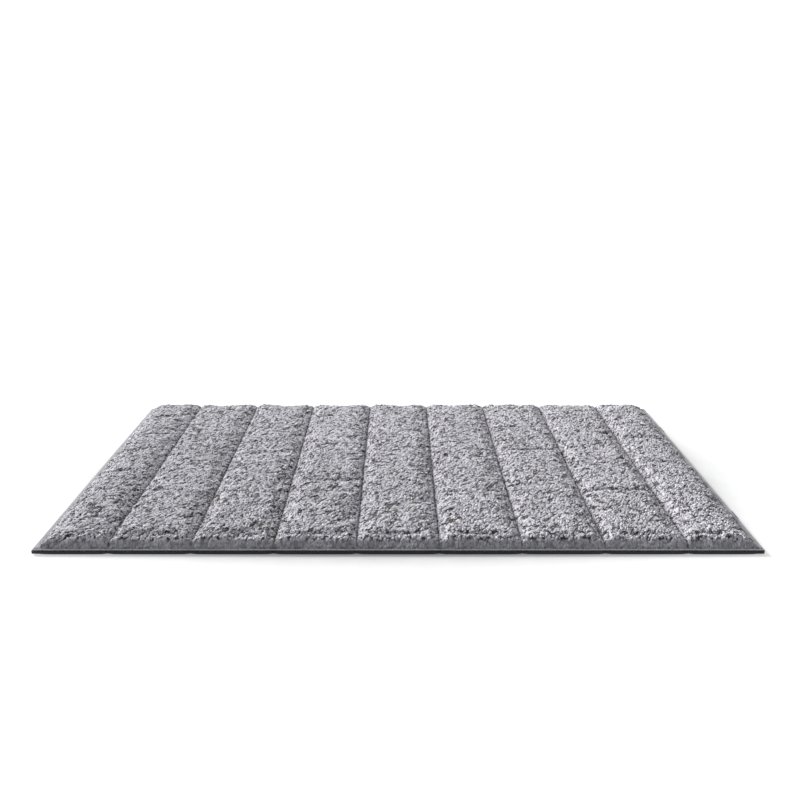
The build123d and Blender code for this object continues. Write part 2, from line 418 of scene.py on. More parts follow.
def swelling():
    """How far each point of each coarse pad moves when it is inflated, by channel."""
    pads = {k: coarse_pad(k) for k in range(1, CHANNELS + 1)}
    points, faces = joined([shell(top, under) for top, under in pads.values()])
    held = np.concatenate([np.tile(held_points(top).ravel(), 2) for top, _ in pads.values()])
    mesh = bpy.data.meshes.new("swelling")
    mesh.from_pydata(points.tolist(), [], faces)
    pad = put_in_scene("swelling", mesh)
    pad.vertex_groups.new(name="held").add(np.flatnonzero(held).tolist(), 1.0, "REPLACE")
    cloth = pad.modifiers.new("cloth", "CLOTH")
    cloth.point_cache.frame_start, cloth.point_cache.frame_end = 1, SWELL_FRAMES
    settings = cloth.settings
    settings.quality = 4
    settings.mass = 0.2
    settings.tension_stiffness, settings.compression_stiffness = 12, 12
    settings.shear_stiffness, settings.bending_stiffness = 4, 0.2
    settings.vertex_group_mass = "held"
    settings.shrink_min = -0.03
    settings.use_pressure = True
    settings.uniform_pressure_force = 4
    settings.effector_weights.gravity = 0
    for step in range(1, SWELL_FRAMES + 1):
        bpy.context.scene.frame_set(step)
    shown = pad.evaluated_get(bpy.context.evaluated_depsgraph_get()).to_mesh()
    moved = np.zeros(len(points) * 3, np.float32)
    shown.vertices.foreach_get("co", moved)
    moved = moved.reshape(-1, 3) - points
    length = np.linalg.norm(moved, axis=1, keepdims=True)
    moved *= np.minimum(1, MOST_SWELL / np.maximum(length, 1e-9))
    bpy.context.scene.frame_set(1)
    bpy.data.objects.remove(pad)
    bpy.data.meshes.remove(mesh)
    result, start = {}, 0
    for k, (top, _) in pads.items():
        middle, end = start + top.size // 3, start + 2 * top.size // 3
        result[k] = moved[start:middle].reshape(top.shape), moved[middle:end].reshape(top.shape)
        start = end
    most, median = float(length.max() / MM), float(np.median(length) / MM)
    print("swelling: most", round(most, 2), "mm, middle", round(median, 2))
    return result


swells = swelling()


# %% [markdown]
# The coarse movement is carried to a fine grid with a smooth cubic through the coarse points, so
# that no facets of the coarse grid show.

# %% From a coarse grid to a fine one
def cubic_weights(place, coarse):
    """The matrix that turns coarse samples on a line into fine ones at the places, by Catmull-Rom."""
    place = np.clip(place, 0, coarse - 1)
    i = np.clip(np.floor(place).astype(int), 0, coarse - 2)
    t = place - i
    parts = (
        (-t + 2 * t**2 - t**3) / 2,
        (2 - 5 * t**2 + 3 * t**3) / 2,
        (t + 4 * t**2 - 3 * t**3) / 2,
        (-(t**2) + t**3) / 2,
    )
    weights = np.zeros((len(place), coarse))
    for offset, part in zip((-1, 0, 1, 2), parts):
        np.add.at(weights, (np.arange(len(place)), np.clip(i + offset, 0, coarse - 1)), part)
    return weights


def swell_at(channel, layer, x, y):
    """The swelling of a channel's top (layer 0) or underside (layer 1) at a grid of points."""
    field = swells[channel][layer]
    low, high = edges[channel - 1], edges[channel]
    rows, columns = field.shape[:2]
    across = cubic_weights((x[0] - low) / (high - low) * (columns - 1), columns)
    down = cubic_weights((y[:, 0] + half_width) / (2 * half_width) * (rows - 1), rows)
    return np.einsum("ri,ijk,cj->rck", down, field, across)


# %% [markdown]
# ## Finishes: a small language for shader maths
# Blender's materials are graphs of nodes. Wiring a sum or a product by hand takes many lines, so
# this class wraps the output of a node and turns ordinary Python arithmetic into Math nodes.

# %% Arithmetic on sockets
class Amount:
    """A number that varies over a surface. Arithmetic on it adds Math nodes to its material."""

    def __init__(self, tree, socket):
        self.tree, self.socket = tree, socket

    def maths(self, operation, *values):
        node = self.tree.nodes.new("ShaderNodeMath")
        node.operation = operation
        for place, value in zip(node.inputs, values):
            connect(self.tree, place, value)
        return Amount(self.tree, node.outputs[0])

    def __add__(self, other):
        return self.maths("ADD", self, other)

    def __radd__(self, other):
        return self.maths("ADD", other, self)

    def __sub__(self, other):
        return self.maths("SUBTRACT", self, other)

    def __rsub__(self, other):
        return self.maths("SUBTRACT", other, self)

    def __mul__(self, other):
        return self.maths("MULTIPLY", self, other)

    def __rmul__(self, other):
        return self.maths("MULTIPLY", other, self)


def connect(tree, place, value):
    """Sets an input socket to a value, or links it to the amount that drives it."""
    if isinstance(value, Amount):
        tree.links.new(value.socket, place)
    else:
        place.default_value = value


class Finish:
    """A material in the making, with one Principled shader."""

    def __init__(self, name, constants):
        self.material = bpy.data.materials.new(name)
        self.material.use_nodes = True
        self.tree = self.material.node_tree
        self.shader = self.tree.nodes["Principled BSDF"]
        for socket, value in constants.items():
            self.shader.inputs[socket].default_value = value

    def node(self, kind, settings=(), inputs=(), output=0):
        """Any node: its type, its settings, which are set first, its inputs, and the output wanted."""
        made = self.tree.nodes.new("ShaderNode" + kind)
        for name, value in dict(settings).items():
            setattr(made, name, value)
        for name, value in dict(inputs).items():
            connect(self.tree, made.inputs[name], value)
        return Amount(self.tree, made.outputs[output])

    def place(self):
        """The point on the object, in metres."""
        return self.node("TexCoord", output="Object")

    def scaled_place(self, x, y, z, turn=0.0):
        """The point, turned about Z and then stretched, to make a pattern longer one way."""
        turned = self.node("Mapping", inputs={"Vector": self.place(), "Rotation": (0, 0, turn)})
        return self.node("Mapping", inputs={"Vector": turned, "Scale": (x, y, z)})

    def noise(self, where, scale, detail=2.0, roughness=0.5):
        """Cloudy noise, about 0.5 on average."""
        inputs = {"Vector": where, "Scale": scale, "Detail": detail, "Roughness": roughness}
        return self.node("TexNoise", inputs=inputs)

    def attribute(self, name):
        """A number that the mesh stores at its points."""
        return self.node("Attribute", {"attribute_name": name}, output="Fac")

    def between(self, share, a, b):
        """A colour from a to b."""
        inputs = {0: share, 6: (*a, 1) if isinstance(a, tuple) else a}
        inputs[7] = (*b, 1) if isinstance(b, tuple) else b
        return self.node("Mix", {"data_type": "RGBA"}, inputs, 2)

    def clamped(self, amount, low, high, to_low=0.0, to_high=1.0):
        """An amount, moved from one range to another and held inside it."""
        inputs = {"Value": amount, "From Min": low, "From Max": high, "To Min": to_low, "To Max": to_high}
        return self.node("MapRange", inputs=inputs)

    def finished(self, colour, height, distance, strength=1.0, roughness=None):
        """The material, with its colour and its relief connected."""
        connect(self.tree, self.shader.inputs["Base Color"], colour)
        relief = {"Height": height, "Strength": strength, "Distance": distance}
        bump = self.node("Bump", inputs=relief, output="Normal")
        connect(self.tree, self.shader.inputs["Normal"], bump)
        if roughness is not None:
            connect(self.tree, self.shader.inputs["Roughness"], roughness)
        return self.material


# %% [markdown]
# ## The fleece
# The pile is grey yarn in tight curls. The curls themselves are geometry. The finish adds what is
# too small to model: the fuzz of single fibres, painted shade in the pits at the roots between the
# curls, where little light reaches, and a slow unevenness of shade, as the nap lies this way and
# that. The combed yarn of the steep ends is darker too, as painted shade of the end faces.

# %% Fleece finish
# The second colour of this line is painted shade: the darkest yarn, for the pits between the curls where
# little light reaches.
LIT_YARN, PIT_SHADE = (0.60, 0.584, 0.645), (0.026, 0.019, 0.019)
DIM_YARN, FLECK = (0.55, 0.535, 0.590), (0.32, 0.312, 0.34)
# The combed yarn of the end faces, both its dark and its light streaks, is darker than the yarn on top:
# painted shade of the steep ends.
STRANDS_IN_PAINTED_SHADE = (0.24, 0.234, 0.257), (0.46, 0.449, 0.490)  # of the combed ends, dark and light
FLAT_HEM = (0.125, 0.121, 0.135), (0.23, 0.223, 0.248)
CURL_TURN = 0.56
FLEECE_RELIEF = 3.4 * MM


def fleece_finish():
    f = Finish(
        "fleece",
        {"Roughness": 0.96, "Sheen Weight": 0.6, "Sheen Roughness": 0.5, "Specular IOR Level": 0.15},
    )
    fuzz = f.noise(f.place(), 1300, 3, 0.65)
    flecks = f.noise(f.place(), 330, 2, 0.6)
    sway = f.node("TexNoise", inputs={"Vector": f.place(), "Scale": 240, "Detail": 1.0}, output="Color")

    def from_curl(x, y):
        """Distance from the middle of the nearest curl, on a lattice swayed by noise."""
        where = {0: sway, 1: (1.1, 1.1, 0.6), 2: f.scaled_place(x, y, 240, CURL_TURN)}
        swayed = f.node("VectorMath", {"operation": "MULTIPLY_ADD"}, where)
        return f.node("TexVoronoi", {"feature": "F1"}, {"Vector": swayed, "Scale": 1.0}, "Distance")

    lean = f.clamped(f.noise(f.place(), 26, 2, 0.5), 0.42, 0.54)
    away = from_curl(230, 170) * (1 - lean) + from_curl(270, 110) * lean
    gap = f.clamped(away, 0.565, 0.63)
    combed = f.noise(f.scaled_place(560, 60, 60), 1, 3, 0.6)
    shade = f.noise(f.place(), 14, 3, 0.55)
    yarn = f.between(f.clamped(shade, 0.3, 0.7), DIM_YARN, LIT_YARN)
    yarn = f.between(f.clamped(flecks, 0.32, 0.68) * 0.12, yarn, FLECK)
    strands = f.between(f.clamped(combed, 0.36, 0.64), *STRANDS_IN_PAINTED_SHADE)
    yarn = f.between(f.attribute("combed"), yarn, strands)
    pressed = f.between(f.clamped(flecks, 0.3, 0.7), *FLAT_HEM)
    yarn = f.between(f.attribute("hem"), yarn, pressed)
    off_hem = (1 - f.attribute("hem")) * (1 - f.attribute("combed") * 0.8)
    # Painted shade: the marked pits, sewn grooves and seam valleys of the mesh, and the gaps between the
    # finish's own curls, turn the yarn towards its darkest colour.
    depth = f.clamped(f.attribute("pit") * 0.8 + gap * off_hem, 0.0, 1.0)
    colour = f.between(depth, yarn, PIT_SHADE)
    relief = fuzz * 0.2 + combed * f.attribute("combed") * 0.4 + (1 - away) * off_hem
    return f.finished(colour, relief, FLEECE_RELIEF)


FLEECE = fleece_finish()

# %% [markdown]
# Wool curls touch each other, so the pile is best drawn as cells: each cell is a curl, and the dark
# pits lie where cells meet. The nap leans over in places and draws the pits out into slanting
# rows, and on the steep ends of the mat it hangs down like combed hair. Three patterns of cells
# cover those three cases, and slow noise chooses between them.

# %% Curls of the pile
CURL = 4.4 * MM
CURL_HEIGHT = 3.2 * MM
NAP_LEAN = math.radians(58)


def curl_depth(x, y, size, seed, angle, stretch):
    """Depth below the curls' tips, 0 to 1, for one lie of the nap.

    A curl is a dome over its cell, e(2 - e) with e growing away from the gap between two cells,
    and some curls stand higher than others. Some gaps are filled in by a slow noise."""
    nearest, second, number = curl_cells(x, y, size, seed, angle, stretch)
    e = np.clip((second - nearest) / 0.6, 0, 1)
    dome = e * (2 - e)
    filled = 0.35 * (1 - eased(soft_noise(x, y, 3.1 * MM, seed + 1), -0.75, 0.1))
    return 1 - (dome + (1 - dome) * filled) * (0.90 + 0.10 * number)


def pile(x, y, combed):
    """The depth of the pile below its tips, 0 to 1, with the leaning and the hanging nap mixed in."""
    wander = 1.5 * MM
    wx = x + wander * soft_noise(x, y, 5 * MM, 31)
    wy = y + wander * soft_noise(x, y, 5 * MM, 32)
    tight = curl_depth(wx, wy, CURL, 41, NAP_LEAN, 1.5)
    leaning = curl_depth(wx, wy, CURL, 43, NAP_LEAN, 2.6)
    hanging = curl_depth(wx, wy, CURL * 0.66, 45, math.pi / 2, 4.0)
    lean = eased(soft_noise(x, y, 32 * MM, 33) + 0.5 * soft_noise(x, y, 12 * MM, 34), -0.15, 0.45)
    depth = tight * (1 - lean) + leaning * lean
    depth = depth * (1 - combed) + hanging * combed
    small = curl_depth(wx, wy, CURL * 0.5, 47, 0.9, 1.2)
    return np.clip(0.78 * depth + 0.26 * small, 0, 1)


# %% [markdown]
# ## A channel of fleece
# The smooth pillow gets the swelling of the simulation and then the curls, each point moving along
# the direction that the surface faces. Close to a seam the points stay on their own side of the
# fold, so the pile meets its neighbour there and parts again when the mat is rolled.

# %% Fleece pieces
FINE_X, FINE_Y = 0.8 * MM, 1.2 * MM
PILE_THICKNESS = 4.0 * MM
UNDER_STEP = 12


def keep_to_own_side(points, channel):
    """Moves points that lean over a fold back to its slope: |x - seam| is at least height * tan(lean)."""
    for side, (edge, lean) in enumerate(channel_edges(channel)):
        if lean is None:
            continue
        least = np.maximum(points[..., 2] - seam_z, 0) * math.tan(lean) * 0.98
        if side == 0:
            points[..., 0] = np.maximum(points[..., 0], edge + least)
        else:
            points[..., 0] = np.minimum(points[..., 0], edge - least)
    return points


def curled(x, y, height, closed, swell):
    """The points of the smooth fleece, the same with their curls, and what the finish reads."""
    settled = np.stack([x, y, seam_z + FLEECE_LIFT + height], axis=-1)
    settled = settled + swell * eased(closed, 1 * MM, 5 * MM)[..., None]
    to_end = half_width - np.abs(y)
    to_side = np.minimum(x - mat_start, mat_end - x)
    to_hem = np.minimum(to_end, to_side)
    combed = eased(to_end, END_STITCH_IN, END_STITCH_IN + 1.5 * MM) * (1 - eased(to_end, 9 * MM, 14 * MM))
    depth = pile(x, y, combed)
    inside = np.minimum(to_side - HEM_STITCH_IN, to_end - END_STITCH_IN)
    on_pad = eased(inside, 0, 2.2 * MM)
    full = (0.10 + 0.90 * on_pad) * (1 - 0.45 * combed) * eased(to_hem, 0, 1.2 * MM)
    push = (0.32 - depth) * CURL_HEIGHT * full
    tips = settled + surface_normals(settled) * push[..., None]
    # Painted shade: the pits between the curls and the sewn groove beside the stitches are marked for the
    # finish to darken.
    sewn = np.exp(-((inside / (0.7 * MM)) ** 2)) * 0.6
    pit_and_groove_shade = np.maximum(eased(depth, 0.50, 0.74) * (0.2 + 0.8 * full) * (1 - 0.6 * combed), sewn)
    return settled, tips, {"pit": pit_and_groove_shade, "combed": combed * 0.9, "hem": 1 - eased(inside, -0.4 * MM, 0.9 * MM)}


def every_few(grid, step):
    """Every step-th column of a grid, and always its last one."""
    kept = grid[:, ::step]
    return kept if (grid.shape[1] - 1) % step == 0 else np.concatenate([kept, grid[:, -1:]], axis=1)


def fleece_piece(channel):
    """The fleece of one channel: the curled face, and its base cloth a pile's thickness below."""
    x, y = channel_grid(channel, FINE_X, FINE_Y, inset=0.05 * MM)
    closed = closed_height(channel, x, y)
    settled, tips, marks = curled(x, y, fleece_height(channel, x, y), closed, swell_at(channel, 0, x, y))
    border = np.minimum(x - x[0, 0], x[0, -1] - x)
    tips = settled + (tips - settled) * eased(border, 0, 1.6 * MM)[..., None]
    tips[..., 2] = np.maximum(tips[..., 2], seam_z + FLEECE_LIFT)
    tips = keep_to_own_side(tips, channel)
    under = every_few(settled, UNDER_STEP).copy()
    under[..., 2] = seam_z + np.maximum(under[..., 2] - seam_z - PILE_THICKNESS, 0) * 0.97
    under = keep_to_own_side(under, channel)
    under[[0, -1], :, 2] = seam_z - LIP_OVERHANG
    name = f"fleece_channel_{channel}"
    piece = closed_cloth(name, tips, under, f"channel_{channel}", FLEECE, "fleece", UNDER_STEP)
    mark_points(piece, marks)
    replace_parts(piece, f"fleece_{channel}")
    return piece


fleeces = [fleece_piece(k) for k in range(1, CHANNELS + 1)]
print("fleece:", sum(len(p.data.polygons) for p in fleeces), "faces")

# %% [markdown]
# ## The pile over the seams
# Between the slopes of two channels lies the pile that grows right beside the stitches. It belongs
# to both of them: it is open when the mat lies flat and squeezed when the mat is folded. So it is
# one strip for each seam. It has the same closed surface and the same curls as the channels, and
# its long sides dip under theirs.

# %% Strips of pile
def seam_strip(seam):
    """The strip over one seam: the closed surface, down to the fold line."""
    edge, lean = edges[seam], channel_edges(seam)[1][1]
    reach = 10.6 * MM * math.tan(lean) + 1.8 * MM
    columns = int(round(reach / FINE_X)) + 1
    offsets = np.linspace(0, reach, columns)
    line = np.concatenate([edge - offsets[::-1], edge + offsets[1:]])
    rows = int(round(2 * half_width / FINE_Y)) + 1
    x, y = np.meshgrid(line, np.linspace(-half_width, half_width, rows))

    def on_both_sides(measure):
        left, right = slice(0, columns), slice(columns, None)
        sides = measure(seam, x[:, left], y[:, left]), measure(seam + 1, x[:, right], y[:, right])
        return np.concatenate(sides, axis=1)

    closed = on_both_sides(closed_height)
    swell = on_both_sides(lambda channel, x, y: swell_at(channel, 0, x, y))
    away = np.abs(x - edge)
    dipped = 1.1 * MM * eased(away, reach - 2.4 * MM, reach) * eased(closed, 0.5 * MM, 3 * MM)
    on_hem = 0.06 * MM * (1 - eased(closed, 0.5 * MM, 3 * MM))
    settled, tips, marks = curled(x, y, np.maximum(closed - dipped - on_hem, 0), closed, swell)
    floor = seam_z + 0.03 * MM
    tips[..., 2] = np.maximum(tips[..., 2], floor + 0.05 * MM)
    # Painted shade along the middle of the seam's valley, added to the marks of the pits.
    seam_crease_shade = 0.85 * np.exp(-((away / (1.5 * MM)) ** 2)) * eased(closed, 1 * MM, 3 * MM)
    marks["pit"] = np.maximum(marks["pit"], seam_crease_shade)
    under = every_few(settled, 4).copy()
    under[..., 2] = floor
    piece = closed_cloth(f"seam_pile_{seam}", tips, under, None, FLEECE, "fleece", 4)
    mark_points(piece, marks)
    edge - reach * 0.9
    edge + reach * 0.9
    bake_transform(piece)
    return piece


strips = [seam_strip(k) for k in range(1, CHANNELS)]
print("strips:", sum(len(p.data.polygons) for p in strips), "faces")

# %% [markdown]
# ## The backing
# The underside is a slubby weave: the yarns that run along the channels are thick in places and
# thin in others, and lighter where they are thick, which gives long streaks like those of raw
# silk or denim. Fine cross yarns tie them down. Stretched noise gives the streaks, at two widths.

# %% Backing finish
def slub_finish(name, dark, light, along=(620, 16, 620), cross=(70, 1150, 70)):
    f = Finish(
        name,
        {"Roughness": 0.82, "Sheen Weight": 0.12, "Sheen Roughness": 0.45, "Specular IOR Level": 0.3},
    )
    streaks = f.noise(f.scaled_place(*along), 1, 3, 0.6)
    threads = f.noise(f.scaled_place(along[0] * 2.6, along[1] * 3, along[2] * 2.6), 1, 2, 0.5)
    ties = f.noise(f.scaled_place(*cross), 1, 2, 0.5)
    shade = f.noise(f.place(), 9, 2, 0.5)
    weave = f.clamped(streaks, 0.32, 0.68) * 0.6 + f.clamped(threads, 0.3, 0.7) * 0.4
    share = f.clamped(weave * 0.85 + (ties - 0.5) * 0.5 + (shade - 0.5) * 0.35, 0.1, 0.9)
    colour = f.between(share, dark, light)
    # Painted shade: near both ends, where the backing turns under the hem, it is darkened almost to black.
    colour = f.between(f.attribute("turned_under") * 0.8, colour, (0.010, 0.011, 0.014))
    return f.finished(colour, weave * 0.7 + ties * 0.5, 0.0005, 0.8)


BACKING = slub_finish("backing", (0.030, 0.034, 0.045), (0.150, 0.162, 0.190))
WOVEN_BAND = slub_finish(
    "band", (0.050, 0.056, 0.072), (0.175, 0.185, 0.215), (1500, 220, 1500), (220, 1500, 220),
)

# %% [markdown]
# The backing lies flat where the floor carries it and curls up to the seams and the hem. Where the
# band, the label, the tabs and their patches press into it, it gives way: each of them sinks into
# a soft hollow. Their places are the boxes of the frame.

# %% Backing pieces
BACKING_STEP_X, BACKING_STEP_Y = 2.6 * MM, 3.6 * MM
BACKING_THICKNESS = 0.9 * MM
BELLY_ROWS = [d * MM for d in (0, 0.3, 0.7, 1.3, 2.1, 3.2, 4.8)]
HOLLOW_SOFT = 5 * MM
WADDING_GAP = 0.25 * MM


def hollow(x, y, node, clear):
    """The rise that a flat piece under the mat presses into it, fading out over a soft edge."""
    low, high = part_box(node)
    away_x = np.maximum(low[0] - x, x - high[0])
    away_y = np.maximum(low[1] - y, y - high[1])
    away = np.hypot(np.maximum(away_x, 0), np.maximum(away_y, 0))
    return (high[2] + clear) * (1 - eased(away, 0.6 * MM, HOLLOW_SOFT))


PRESSED = {
    4: ("loop_patch_front", "loop_patch_back"),
    8: ("carry_band",),
    9: ("closure_tab_front", "closure_tab_back"),
}


def under_side(channel, x, y):
    """Height of a channel's underside, with its swelling, its unevenness and its hollows."""
    to_side = np.minimum(x - edges[channel - 1], edges[channel] - x)
    near_edge = 1 - eased(to_side, 14 * MM, 26 * MM)
    held = eased(np.minimum(to_side, half_width - np.abs(y)), 0.5 * MM, 5 * MM)
    swell = 0.4 * np.maximum(swell_at(channel, 1, x, y)[..., 2], 0)
    uneven = 0.35 * MM * np.maximum(soft_noise(x, y * 0.6, 9 * MM, 21), 0)
    height = backing_height(channel, x, y) + (swell + uneven) * near_edge * held
    for node in PRESSED.get(channel, ()):
        height = np.maximum(height, hollow(x, y, node, 0.25 * MM))
    return height


def backing_piece(channel):
    """The backing of one channel, a thin closed cloth with its soft hollows."""
    x, y = channel_grid(channel, BACKING_STEP_X, BACKING_STEP_Y, inset=0.05 * MM, end_rows=BELLY_ROWS)
    seam_side = [edge for edge, lean in channel_edges(channel) if lean is not None]
    to_seam = np.min([np.abs(x - edge) for edge in seam_side], axis=0)
    ceiling = seam_z - 0.02 * MM
    height = np.minimum(under_side(channel, x, y), ceiling - 0.03 * MM)
    lower = np.stack([x, y, height], axis=-1)
    thickness = BACKING_THICKNESS * eased(to_seam, 0, 1.6 * MM) + 0.02 * MM
    upper = lower.copy()
    upper[..., 2] = np.minimum(height + thickness, ceiling)
    at_end = 1 - eased(half_width - np.abs(y), 9 * MM, 13 * MM)
    closing = at_end * (1 - eased(to_seam, 0, 2.5 * MM))
    upper[..., 2] += (ceiling - upper[..., 2]) * closing
    piece = closed_cloth(
        f"backing_channel_{channel}", lower, every_few(upper, 4), f"channel_{channel}", BACKING, "backing",
        step=4, face_down=True,
    )
    # The mark of the painted shade under the hem, at both ends.
    turned_under = 1 - eased(half_width - np.abs(y), 5 * MM, 14 * MM)
    both = np.concatenate([turned_under.ravel(), every_few(turned_under, 4).ravel()])
    mark_points(piece, {"turned_under": both})
    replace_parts(piece, f"backing_{channel}")
    return piece


# %% [markdown]
# ## The wadding
# A pad of white polyester fills each channel. It never shows, but it is a real piece, so it is made
# like the rest: a soft body between the fleece's base cloth and the backing.

# %% Wadding finish and pieces
def wadding_finish():
    f = Finish("wadding", {"Roughness": 0.95, "Sheen Weight": 0.3, "Specular IOR Level": 0.1})
    clumps = f.noise(f.place(), 70, 4, 0.6)
    fibres = f.noise(f.scaled_place(900, 240, 900, 0.4), 1, 3, 0.6)
    colour = f.between(f.clamped(clumps, 0.3, 0.7), (0.78, 0.78, 0.76), (0.90, 0.90, 0.88))
    return f.finished(colour, clumps * 0.5 + fibres * 0.5, 0.001, 0.6)


WADDING = wadding_finish()
WADDING_X, WADDING_Y, WADDING_IN = 5 * MM, 6 * MM, 4 * MM


def wadding_piece(channel):
    """The wadding of one channel, a closed pad that tapers to a thin edge inside the seams."""
    x, y = channel_grid(channel, WADDING_X, WADDING_Y, inset=WADDING_IN)
    if channel in (1, CHANNELS):
        span = x[0, -1] - x[0, 0]
        squeeze = (span - HEM - WADDING_IN) / span
        seam_side = x[:, [-1]] if channel == 1 else x[:, [0]]
        x = seam_side + (x - seam_side) * squeeze
    y = y * (half_width - HEM - WADDING_IN) / half_width
    swell = swell_at(channel, 0, x, y)[..., 2]
    roof = seam_z + np.maximum(fleece_height(channel, x, y) - PILE_THICKNESS, 0) * 0.97
    floor = under_side(channel, x, y) + BACKING_THICKNESS + WADDING_GAP
    top = np.maximum(roof - 0.3 * MM + np.minimum(swell, 0), floor + 0.3 * MM)
    upper = np.stack([x, y, top], axis=-1)
    lower = np.stack([x, y, np.minimum(floor + 0.15 * MM, top - 0.1 * MM)], axis=-1)
    name = f"wadding_channel_{channel}"
    piece = closed_cloth(name, upper, lower, f"channel_{channel}", WADDING, "wadding")
    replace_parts(piece, f"wadding_{channel}")
    return piece


for make in (wadding_piece, backing_piece):
    made = [make(k) for k in range(1, CHANNELS + 1)]
    print(make.__name__, len(made), "pieces, faces", sum(len(p.data.polygons) for p in made))

# %% [markdown]
# ## Stitches
# A machine stitch is a short capsule of thread that dives into the cloth at both ends. One small
# capsule is worked out once and then copied along a line by adding arrays, so a whole seam is one
# mesh of many closed stitches, each with a few dozen faces.

# %% Thread finish and rows of stitches
def thread_finish(name, dark, light):
    f = Finish(name, {"Roughness": 0.7, "Sheen Weight": 0.2, "Specular IOR Level": 0.3})
    twist = f.noise(f.scaled_place(1800, 1800, 1800, 0.7), 1, 2, 0.5)
    colour = f.between(f.clamped(twist, 0.3, 0.7), dark, light)
    return f.finished(colour, twist, 0.0002, 0.8)


GREY_THREAD = thread_finish("grey_thread", (0.22, 0.22, 0.24), (0.40, 0.40, 0.43))
NAVY_THREAD = thread_finish("navy_thread", (0.012, 0.014, 0.022), (0.035, 0.040, 0.055))

SIDES_OF_THREAD = 6
RINGS = (0.0, 0.16, 0.5, 0.84, 1.0)
SWELL_OF_STITCH = (0.25, 0.8, 1.0, 0.8, 0.25)
DIP_OF_STITCH = (1.0, 0.25, 0.0, 0.25, 1.0)


def stitch_row(start, end, length, gap, radius, outward, dip):
    """Points and faces of a row of stitches from start to end.

    Each stitch is five rings of six points. Ring by ring its radius swells and its line rises by
    dip from the cloth along outward, so it looks pulled in at both of its ends."""
    start, end, outward = (np.array(v, float) for v in (start, end, outward))
    run = np.linalg.norm(end - start)
    ahead = (end - start) / run
    side = np.cross(outward, ahead)
    count = max(1, int(run / (length + gap)))
    first = (np.arange(count) + 0.5) * run / count - length / 2
    turn = np.arange(SIDES_OF_THREAD) / SIDES_OF_THREAD * 2 * math.pi
    circle = side * np.cos(turn)[:, None] + outward * np.sin(turn)[:, None]
    rings = [
        ahead * length * t - outward * dip * low + circle * radius * swell
        for t, swell, low in zip(RINGS, SWELL_OF_STITCH, DIP_OF_STITCH)
    ]
    stitch = np.stack(rings).reshape(-1, 3)
    points = start + ahead * first[:, None, None] + stitch
    index = np.arange(len(stitch)).reshape(len(RINGS), SIDES_OF_THREAD)
    around = np.roll(index, -1, axis=1)
    faces = np.stack([index[:-1], around[:-1], around[1:], index[1:]], axis=-1).reshape(-1, 4)
    caps = [index[0][::-1].tolist(), index[-1].tolist()]
    one = faces.tolist() + caps
    if np.dot(np.cross(circle[0], circle[1]), ahead) < 0:
        one = [face[::-1] for face in one]
    every = [[corner + n * len(stitch) for corner in face] for n in range(count) for face in one]
    return points.reshape(-1, 3), every


def stitched_piece(name, rows, body, finish, node):
    """One piece made of several rows of stitches, which stands for a thread node of the frame."""
    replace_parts(new_piece(name, *joined(rows), body, finish, "thread"), node)


# %% [markdown]
# Each seam is sewn right through. On the face its stitches are buried in the pile, and on the
# backing they show as a row at the bottom of a narrow valley. The thread goes with the channel on
# the +X side, as in the frame, and lies on the fold line, where it hardly moves as the seam folds.

# %% Quilting and hem stitches
UP, DOWN = (0, 0, 1), (0, 0, -1)
QUILT_STITCH = {"length": 3.4 * MM, "gap": 0.9 * MM, "radius": 0.32 * MM}
HEM_STITCH = {"length": 2.9 * MM, "gap": 1.0 * MM, "radius": 0.27 * MM}
STITCH_DIP = 0.3 * MM
SEAM_GAP = 3.5 * MM  # from the last hem stitch of a channel to its seam

for k, x in enumerate(seam_x, 1):
    reach = half_width - HEM
    below = seam_z - 0.40 * MM
    row = stitch_row((x, -reach, below), (x, reach, below), outward=DOWN, dip=STITCH_DIP, **QUILT_STITCH)
    stitched_piece(
        f"quilting_stitches_{k}", [row], f"channel_{k + 1}", NAVY_THREAD, f"quilting_thread_{k}",
    )

for k in range(1, CHANNELS + 1):
    low = edges[k - 1] + (HEM_STITCH_IN if k == 1 else SEAM_GAP)
    high = edges[k] - (HEM_STITCH_IN if k == CHANNELS else SEAM_GAP)
    y = half_width - END_STITCH_IN
    z = seam_z + 0.55 * MM
    runs = [((low, -y, z), (high, -y, z)), ((low, y, z), (high, y, z))]
    if k == 1:
        runs.append(((low, -y, z), (low, y, z)))
    if k == CHANNELS:
        runs.append(((high, -y, z), (high, y, z)))
    rows = [stitch_row(a, b, outward=UP, dip=STITCH_DIP, **HEM_STITCH) for a, b in runs]
    stitched_piece(f"hem_stitches_{k}", rows, f"channel_{k}", GREY_THREAD, f"hem_stitching_{k}")

# %% [markdown]
# ## Carry band and label
# The band is a strip of the backing's weave, folded under at its long sides and sewn down at both
# ends, and it stands a little away from the mat between them. The label on its middle is thick
# tan leather with a pressed border and a plain pressed motif of three waves. The relief of the
# leather is geometry, because it catches the light at its edges.

# %% Band
def oblong_grid(low, high, step):
    """Points spread over an oblong, about a step apart."""
    columns, rows = (int(round((high[i] - low[i]) / step)) + 1 for i in (0, 1))
    return np.meshgrid(np.linspace(low[0], high[0], columns), np.linspace(low[1], high[1], rows))


def strip(name, low, high, step, relief, body, finish, slot, edge=0.5 * MM):
    """A flat closed strip that faces down: its lower face follows relief(x, y), its sides are rounded."""
    x, y = oblong_grid(low, high, step)
    to_side = np.minimum(np.minimum(x - low[0], high[0] - x), np.minimum(y - low[1], high[1] - y))
    thickness = high[2] - low[2]
    round_off = edge * (1 - np.sqrt(np.clip(1 - (1 - np.clip(to_side / edge, 0, 1)) ** 2, 0, 1)))
    lower = np.stack([x, y, low[2] + relief(x, y) + round_off * 0.8], axis=-1)
    upper = np.stack([x, y, high[2] - round_off * 0.15], axis=-1)
    upper[..., 2] = np.maximum(upper[..., 2], lower[..., 2] + 0.1 * thickness)
    return closed_cloth(name, upper, lower, body, finish, slot)


